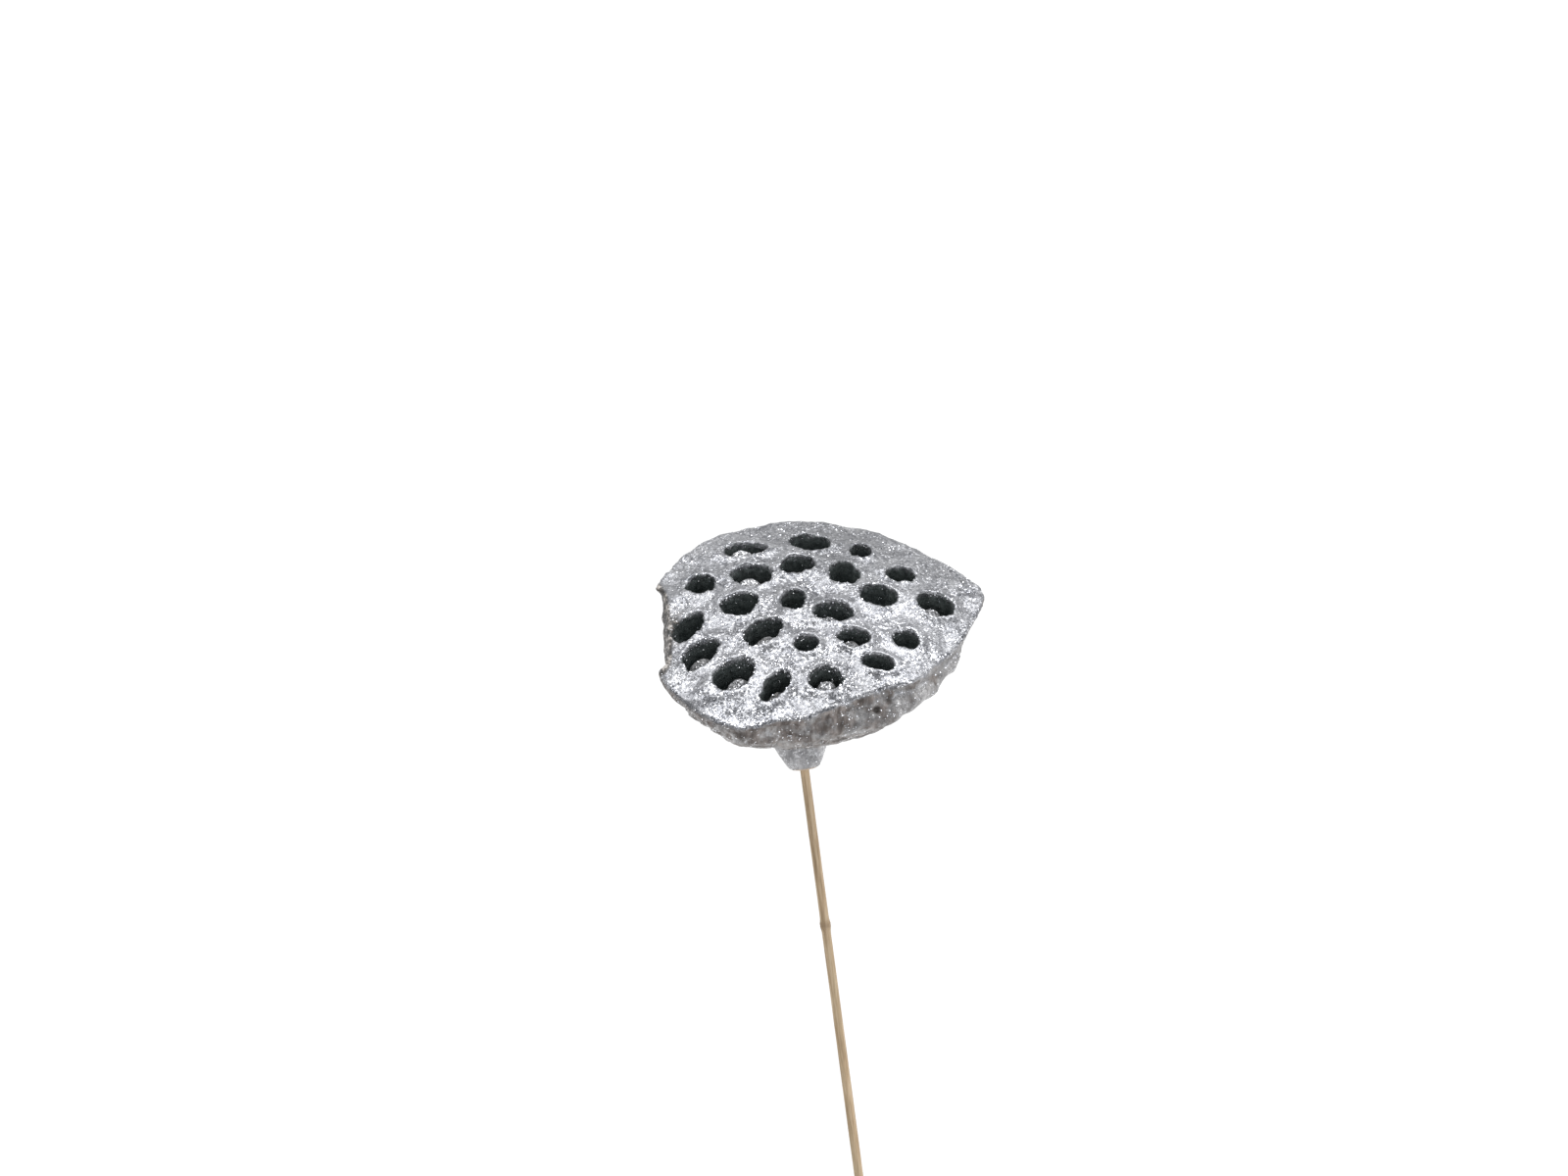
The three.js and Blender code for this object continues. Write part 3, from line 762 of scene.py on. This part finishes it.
def flake_mesh(places, normals, sizes):
    """Thin six-sided flakes, each tilted a little its own way off the surface."""
    count = len(places)
    normals = normals + FLAKE_TILT * rng.normal(size=(count, 3))
    normals /= np.linalg.norm(normals, axis=1)[:, None]
    first = np.cross(normals, rng.normal(size=(count, 3)))
    first /= np.linalg.norm(first, axis=1)[:, None]
    second = np.cross(normals, first)
    sides = np.arange(6)
    angle = sides * math.pi / 3
    ring = first[:, None] * np.cos(angle)[None, :, None] + second[:, None] * np.sin(angle)[None, :, None]
    ring = places[:, None] + ring * sizes[:, None, None]
    thick = normals * sizes[:, None] * FLAKE_THICKNESS
    points = np.concatenate([ring, (places + thick)[:, None], (places - thick)[:, None]], axis=1)
    beside = (sides + 1) % 6
    faces = np.vstack([
        np.stack([sides, beside, np.full(6, 6)], axis=1),
        np.stack([beside, sides, np.full(6, 7)], axis=1),
    ])
    faces = (faces[None] + 8 * np.arange(count)[:, None, None]).reshape(-1, 3)
    mesh = bpy.data.meshes.new("glitter")
    mesh.from_pydata(points.reshape(-1, 3).tolist(), [], faces.tolist())
    mesh.update()
    return mesh


# More flakes lie in patches, on the lower face and at the mouths, and few on the side or down a pocket
patchy = 0.2 + np.clip(0.3 + 1.6 * field(points, 8, 21) + 1.6 * field(points, 3.2, 22), 0, 3)
patchy = patchy * (0.3 + 0.9 * smooth((26 - v) / 50)) * (1 + 1.2 * mouth)
shown = np.where(deep > 0, 0.8 - 0.62 * smooth(deep / 0.8), 1 - 0.72 * side)
weights = patchy * shown * (1 - 0.5 * torn) * (1 - cut_end) * (placed[:, 2] > FLAKE_CLEAR * MM)
places, facing = scattered(pod_mesh, weights, POD_FLAKES)
for seed in seeds:
    dusted = read(seed.data.attributes["dusted"].data, "value", 1)[:, 0]
    on_seed, facing_seed = scattered(seed.data, dusted + 0.02, SEED_FLAKES)
    places, facing = np.vstack([places, on_seed]), np.vstack([facing, facing_seed])
sizes = rng.uniform(*FLAKE_SIZES, len(places)) * MM
glitter = add_object("glitter", flake_mesh(places, facing, sizes))


# Stick


def stick_object():
    """A reed with fine grooves along it and three swollen joints."""
    start = in_model(neck_end) - stick_way * STICK_HIDDEN * MM
    low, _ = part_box("stick")
    length = (start[1] - low.y) / math.cos(STICK_FALL) / MM
    along = np.unique(np.concatenate([
        np.arange(0, length, STICK_STEP), [0.25, length - 0.25, length],
        *[STICK_HIDDEN + node + np.arange(-NODE_SPAN, NODE_SPAN, NODE_STEP) for node in STICK_NODES],
    ]))
    along = along[(along >= 0) & (along <= length)][:, None]
    swell = np.zeros_like(along)
    ridge = np.zeros_like(along)
    for node in STICK_NODES:
        away = along - STICK_HIDDEN - node
        swell = np.maximum(swell, bell(away / (NODE_LENGTH / 2)))
        ridge = np.maximum(ridge, bell(away / RIDGE_LENGTH))
    angle = circle(STICK_SIDES)
    cos, sin = np.cos(angle), np.sin(angle)
    grooves = field(stacked(cos * 3.2, sin * 3.2, along / 60), 1, 71)
    slow = field(stacked(cos, sin, along / 9), 1, 72)
    ends = 1 - 0.12 * (along < STICK_TAPER) - 0.05 * (along > length - STICK_TAPER)
    radius = STICK_RADIUS * (1 + NODE_SWELL * swell - RIDGE_DEPTH * ridge) * ends
    radius = radius + 0.05 * grooves + 0.03 * slow
    rings = stacked(radius * cos, -radius * sin, along)
    placed = rings * MM @ upright_to(stick_way).T + start
    placed[..., 2] = np.maximum(placed[..., 2], 0)
    mesh = grid_mesh("stick_reed", *capped(placed))
    shade_smooth(mesh)
    set_attribute(mesh, "joint", np.concatenate([[0], np.broadcast_to(swell, radius.shape).ravel(), [0]]))
    return add_object("stick_reed", mesh)


stick = stick_object()


# Colours: plain ones, and ramps of place and colour

CALM_GREY = (0.228, 0.231, 0.243, 1)
GLINT_WHITE = (0.95, 0.96, 1, 1)
PIT_PAINTED_SHADE = (0.03, 0.024, 0.02, 1)
CUT_TAN = (0.62, 0.47, 0.33, 1)
REED_OLIVE = (0.4, 0.33, 0.2, 1)
JOINT_BROWN = (0.24, 0.15, 0.085, 1)
SILVER = [(0.4, (0.12, 0.124, 0.138)), (0.5, (0.247, 0.251, 0.267)), (0.6, (0.405, 0.41, 0.425))]
WORN_SILVER = [(0.38, (0.16, 0.15, 0.145)), (0.5, (0.3, 0.29, 0.285)), (0.64, (0.6, 0.59, 0.585))]
BROWN_SKIN = [(0.38, (0.05, 0.04, 0.034)), (0.5, (0.15, 0.127, 0.116)), (0.66, (0.42, 0.38, 0.36))]
TORN_FIBRES = [(0.4, (0.012, 0.01, 0.009)), (0.5, (0.1, 0.087, 0.075)), (0.6, (0.46, 0.43, 0.4))]
BARE_HOLLOW_AND_SHADE = [(0.35, (0.05, 0.062, 0.062)), (0.7, (0.17, 0.195, 0.19))]
FLAKE_SILVER = [(0.35, (0.72, 0.74, 0.8)), (0.6, (0.96, 0.96, 0.98))]
SEED_SKIN = [(0.3, (0.03, 0.031, 0.031)), (0.7, (0.12, 0.115, 0.11))]
SEED_SILVER = [(0.35, (0.36, 0.37, 0.39)), (0.65, (0.92, 0.92, 0.94))]
REED = [(0.3, (0.3, 0.2, 0.115)), (0.5, (0.53, 0.385, 0.235)), (0.72, (0.72, 0.57, 0.39))]
FLOOR_GREY = [(0.3, (0.17, 0.17, 0.17)), (0.7, (0.18, 0.18, 0.18))]


# Materials


class Nodes:
    """A material's node tree, with short ways to add and link nodes."""

    def __init__(self, name):
        self.material = bpy.data.materials.new(name)
        self.material.use_nodes = True
        self.tree = self.material.node_tree
        self.shader = self.tree.nodes["Principled BSDF"]

    def add(self, kind, inputs=None, **settings):
        node = self.tree.nodes.new("ShaderNode" + kind)
        for name, value in settings.items():
            setattr(node, name, value)
        for name, value in (inputs or {}).items():
            self.put(node.inputs[name], value)
        return node

    def put(self, socket, value):
        if isinstance(value, bpy.types.NodeSocket):
            self.tree.links.new(value, socket)
        else:
            socket.default_value = value

    def where(self):
        return self.add("TexCoord").outputs["Object"]

    def stretched(self, scale):
        """Places in the model's frame, each axis scaled on its own."""
        return self.add("Mapping", {"Vector": self.where(), "Scale": scale}).outputs[0]

    def streaked(self, stretch):
        """Places in the pod's frame, drawn out along its axis."""
        inputs = {"Vector": self.where(), "Rotation": POD_ROTATION.to_euler(), "Scale": (1, 1, stretch)}
        return self.add("Mapping", inputs, vector_type="TEXTURE").outputs[0]

    def attribute(self, name):
        return self.add("Attribute", attribute_name=name).outputs["Fac"]

    def noise(self, scale, detail, vector=None):
        inputs = {"Vector": vector or self.where(), "Scale": scale, "Detail": detail, "Roughness": 0.6}
        return self.add("TexNoise", inputs).outputs["Fac"]

    def math(self, operation, a, b):
        return self.add("Math", {0: a, 1: b}, operation=operation).outputs[0]

    def plus(self, a, b):
        return self.math("ADD", a, b)

    def times(self, a, b):
        return self.math("MULTIPLY", a, b)

    def largest(self, first, *others):
        for other in others:
            first = self.math("MAXIMUM", first, other)
        return first

    def scaled(self, vector, share):
        return self.add("VectorMath", {0: vector, "Scale": share}, operation="SCALE").outputs[0]

    def minus(self, a, b):
        """One vector or colour less another."""
        return self.add("VectorMath", {0: a, 1: b}, operation="SUBTRACT").outputs[0]

    def spread(self, value, low, high, to_low=0, to_high=1):
        inputs = {"Value": value, "From Min": low, "From Max": high, "To Min": to_low, "To Max": to_high}
        return self.add("MapRange", inputs).outputs["Result"]

    def mix(self, share, a, b):
        return self.add("Mix", {0: share, 6: a, 7: b}, data_type="RGBA").outputs[2]

    def ramp(self, value, stops):
        node = self.add("ValToRGB", {"Fac": value})
        elements = node.color_ramp.elements
        while len(elements) < len(stops):
            elements.new(0.5)
        for element, (place, colour) in zip(elements, stops):
            element.position, element.color = place, (*colour, 1)
        return node.outputs["Color"]

    def facets(self, size, strength):
        """Height of flat, randomly tilted grains of the given size in metres, and a colour for each."""
        where = self.scaled(self.where(), 1 / size)
        cells = self.add("TexVoronoi", {"Vector": where, "Scale": 1})
        away = self.minus(where, cells.outputs["Position"])
        tilt = self.minus(cells.outputs["Color"], (0.5, 0.5, 0.5))
        height = self.add("VectorMath", {0: away, 1: tilt}, operation="DOT_PRODUCT").outputs["Value"]
        return self.times(height, size * strength), cells.outputs["Color"]

    def bump(self, height):
        return self.add("Bump", {"Height": height, "Strength": 1, "Distance": 1}).outputs["Normal"]

    def finish(self, **inputs):
        for name, value in inputs.items():
            self.put(self.shader.inputs[name.replace("_", " ").title()], value)
        return self.material


def silver_material():
    n = Nodes("silver_paint")
    deep, side, torn, cut_end = (n.attribute(name) for name in ("deep", "side", "torn", "cut_end"))
    heights, cell = n.facets(0.00045, 0.4)
    cell_grey = n.add("SeparateColor", {"Color": cell}).outputs[0]
    mottled = n.plus(n.times(n.noise(900, 4), 0.65), n.times(n.noise(170, 3), 0.35))
    paint = n.ramp(mottled, SILVER)
    # The paint lies smooth in patches
    calm = n.spread(n.noise(150, 2), 0.44, 0.56)
    paint = n.mix(n.times(calm, 0.48), paint, CALM_GREY)
    heights = n.times(heights, n.spread(calm, 0, 1, 1, 0.6))
    glints = n.spread(cell_grey, 0.88, 0.95)
    paint = n.mix(n.times(glints, n.spread(calm, 0, 1, 0.7, 0.3)), paint, GLINT_WHITE)
    # Thin paint lets the brown bowl show in patches
    streaks = n.streaked(3)
    patches = n.times(n.noise(240, 3, n.streaked(1.6)), 0.5)
    worn = n.plus(n.times(n.noise(800, 5, streaks), 0.5), patches)
    scuffed = n.plus(n.times(n.noise(600, 5, streaks), 0.5), patches)
    colour = n.mix(n.times(side, 0.7), paint, n.ramp(worn, WORN_SILVER))
    # Painted light and shade: the colour is made lighter or darker in patches of the face and towards the
    # neck's end
    colour = n.scaled(colour, n.attribute("painted_light"))
    bare_skin = n.times(n.attribute("skin"), n.spread(n.noise(350, 5), 0.35, 0.55))
    colour = n.mix(bare_skin, colour, n.ramp(scuffed, BROWN_SKIN))
    # Fibres run up the torn wall
    long_fibres = n.times(n.noise(1500, 2, n.stretched((1, 0.5, 0.06))), 0.65)
    fibres = n.plus(n.times(n.noise(800, 5, n.streaked(4)), 0.35), long_fibres)
    fibres = n.plus(fibres, n.spread(n.noise(420, 2), 0.42, 0.58, -0.12, 0.06))
    colour = n.mix(n.times(torn, 0.95), colour, n.ramp(fibres, TORN_FIBRES))
    # Painted shade: the pit in the bowl's side is coloured near black
    colour = n.mix(n.attribute("pit"), colour, PIT_PAINTED_SHADE)
    colour = n.mix(cut_end, colour, CUT_TAN)
    # The paint ends raggedly, a little way down each pocket. The bare inside is coloured dark, partly its
    # own colour and partly painted shade.
    ragged = n.plus(deep, n.times(n.math("SUBTRACT", n.noise(1100, 4), 0.5), 0.7))
    dark = n.times(n.spread(ragged, 0.04, 0.1), n.spread(deep, 0, 0.03))
    colour = n.mix(dark, colour, n.ramp(n.noise(600, 4), BARE_HOLLOW_AND_SHADE))
    bare = n.largest(dark, cut_end, torn, bare_skin)
    metal = n.times(n.spread(bare, 0, 1, 0.85, 0), n.spread(side, 0, 1, 1, 0.6))
    rough = n.plus(n.spread(cell_grey, 0, 1, 0.26, 0.4), n.times(bare, 0.2))
    rough = n.plus(rough, n.times(calm, 0.06))
    normal = n.bump(n.plus(heights, n.times(n.noise(1300, 2), 0.00006)))
    return n.finish(base_color=colour, metallic=metal, roughness=rough, normal=normal)


def glitter_material():
    n = Nodes("glitter_flake")
    return n.finish(base_color=n.ramp(n.noise(2400, 0), FLAKE_SILVER), metallic=1, roughness=0.16)


def seed_material():
    n = Nodes("seed_skin")
    paint = n.times(n.attribute("dusted"), n.spread(n.noise(700, 4), 0.3, 0.5))
    skin, silver = n.ramp(n.noise(500, 4), SEED_SKIN), n.ramp(n.noise(1400, 3), SEED_SILVER)
    heights, _ = n.facets(0.00042, 1)
    metal = n.times(paint, 0.8)
    rough = n.spread(paint, 0, 1, 0.45, 0.36)
    colour = n.mix(paint, skin, silver)
    return n.finish(base_color=colour, metallic=metal, roughness=rough, normal=n.bump(heights))


def stick_material():
    n = Nodes("dry_reed")
    long_way = n.stretched((1, 0.035, 1))
    grain = n.noise(1700, 4, long_way)
    broad = n.noise(420, 3, long_way)
    colour = n.mix(n.spread(broad, 0.45, 0.7, 0, 0.5), n.ramp(grain, REED), REED_OLIVE)
    colour = n.mix(n.times(n.attribute("joint"), 0.55), colour, JOINT_BROWN)
    rough = n.spread(grain, 0.2, 0.8, 0.62, 0.45)
    return n.finish(base_color=colour, roughness=rough, normal=n.bump(n.times(grain, 0.00012)))


def floor_material():
    n = Nodes("pale_floor")
    shade = n.ramp(n.noise(3, 2), FLOOR_GREY)
    return n.finish(base_color=shade, roughness=0.9, emission_color=(1, 1, 1, 1), emission_strength=0.93)


pod.data.materials.append(silver_material())
glitter.data.materials.append(glitter_material())
seed_skin = seed_material()
for seed in seeds:
    seed.data.materials.append(seed_skin)
stick.data.materials.append(stick_material())

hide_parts("pod")
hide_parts("stick")
for number, seed in enumerate(seeds, 1):
    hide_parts(f"seed_{number:02d}")
for piece in (pod, glitter, stick, *seeds):
    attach(piece, "root")


# Floor, light and camera


def softbox(name, place, width, height, radiance):
    """An even panel of light that faces the pod."""
    light = bpy.data.lights.new(name, "AREA")
    light.shape, light.size, light.size_y = "RECTANGLE", width, height
    light.energy = radiance * math.pi * width * height
    obj = add_object(name, light)
    obj.location = Vector(place)
    target = Vector(POD_PLACE * MM)
    obj.rotation_euler = (target - obj.location).to_track_quat("-Z", "Y").to_euler()


floor_corners = [(x * FLOOR_REACH, y * FLOOR_REACH, 0) for x, y in ((-1, -1), (1, -1), (1, 1), (-1, 1))]
floor_mesh = bpy.data.meshes.new("floor")
floor_mesh.from_pydata(floor_corners, [], [(0, 1, 2, 3)])
floor = add_object("floor", floor_mesh)
floor.data.materials.append(floor_material())

world = bpy.data.worlds.new("studio")
bpy.context.scene.world = world
world.use_nodes = True
world.node_tree.nodes["Background"].inputs["Color"].default_value = (0.95, 0.97, 1, 1)
world.node_tree.nodes["Background"].inputs["Strength"].default_value = 0.35
softbox("key", (0.1, 1.25, 0.34), 1.8, 0.5, 6.2)
softbox("front", (-0.1, -1.0, 0.7), 1.2, 0.7, 0.95)
softbox("side", (1.1, 0.1, 0.55), 0.8, 0.8, 2)
softbox("top", (0, -0.35, 1.3), 0.9, 0.9, 1.8)

# The camera looks straight down, with its width across the pod, and has the face at its own pixel
distance = PIXELS[0] * LENS / SENSOR / PIXELS_PER_MM
right = np.array([math.cos(POD_TURN), math.sin(POD_TURN), 0])
up = np.array([-math.sin(POD_TURN), math.cos(POD_TURN), 0])
aside = (FACE_PIXEL[0] - PIXELS[0] / 2) / PIXELS_PER_MM
above = (PIXELS[1] / 2 - FACE_PIXEL[1]) / PIXELS_PER_MM
camera = add_object("camera", bpy.data.cameras.new("camera"))
camera.data.lens, camera.data.sensor_width = LENS, SENSOR
camera.data.clip_start = 0.01
camera.location = (POD_PLACE + [0, 0, distance] - aside * right - above * up) * MM
camera.rotation_euler = (0, 0, POD_TURN)
bpy.context.scene.camera = camera
bpy.context.scene.view_settings.view_transform = "Standard"
